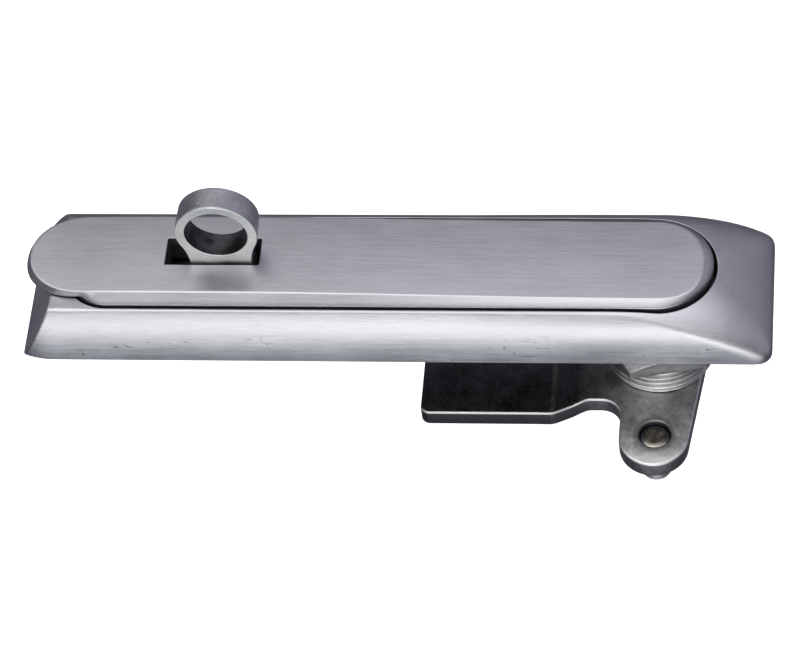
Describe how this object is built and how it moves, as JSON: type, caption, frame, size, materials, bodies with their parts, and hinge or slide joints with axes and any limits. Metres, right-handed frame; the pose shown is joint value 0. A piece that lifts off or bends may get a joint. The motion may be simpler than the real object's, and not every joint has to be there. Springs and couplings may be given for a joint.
{
  "type": "swing handle latch",
  "caption": "Low swing handle latch: a bar handle folds into a long housing over a padlock eye, and turns a threaded spindle with a joggled cam and a rod pin behind the panel.",
  "frame": {"origin": "on the spindle's axis, in the plane of the housing's mounting face", "axes": "+X along the housing from the handle's free end to its pivot end, +Z out of the panel through the handle, -Z down the boss and the spindle"},
  "size_m": [0.1481, 0.0443, 0.0586],
  "materials": {
    "brushed_stainless": "brushed lengthways",
    "satin_steel": "satin",
    "dark_steel": "tumbled, dark",
    "turned_steel": "turned, plain",
    "seal_rubber": "matte"
  },
  "bodies": {
    "housing": {"housing": "brushed_stainless", "padlock_eye": "satin_steel", "padlock_eye_screws": "satin_steel", "mounting_nut": "satin_steel", "thrust_washer": "satin_steel", "turn_stop_pin": "satin_steel"},
    "spindle": {"spindle": "satin_steel", "spindle_seal": "seal_rubber", "cam": "dark_steel", "rod_pin": "turned_steel", "cam_washer": "turned_steel", "cam_spring_washer": "turned_steel", "cam_bolt": "turned_steel"},
    "handle": {"handle": "brushed_stainless", "pivot_pin": "satin_steel"}
  },
  "joints": [
    {"name": "spindle_turn", "type": "hinge", "parent": "housing", "child": "spindle", "pos_m": [0, 0, 0], "axis": [0, 0, 1], "range_deg": [-0.3, 0.3]},
    {"name": "handle_lift", "type": "hinge", "parent": "spindle", "child": "handle", "pos_m": [0, 0, 0.0076], "axis": [0, 1, 0], "range_deg": [0, 35]}
  ]
}
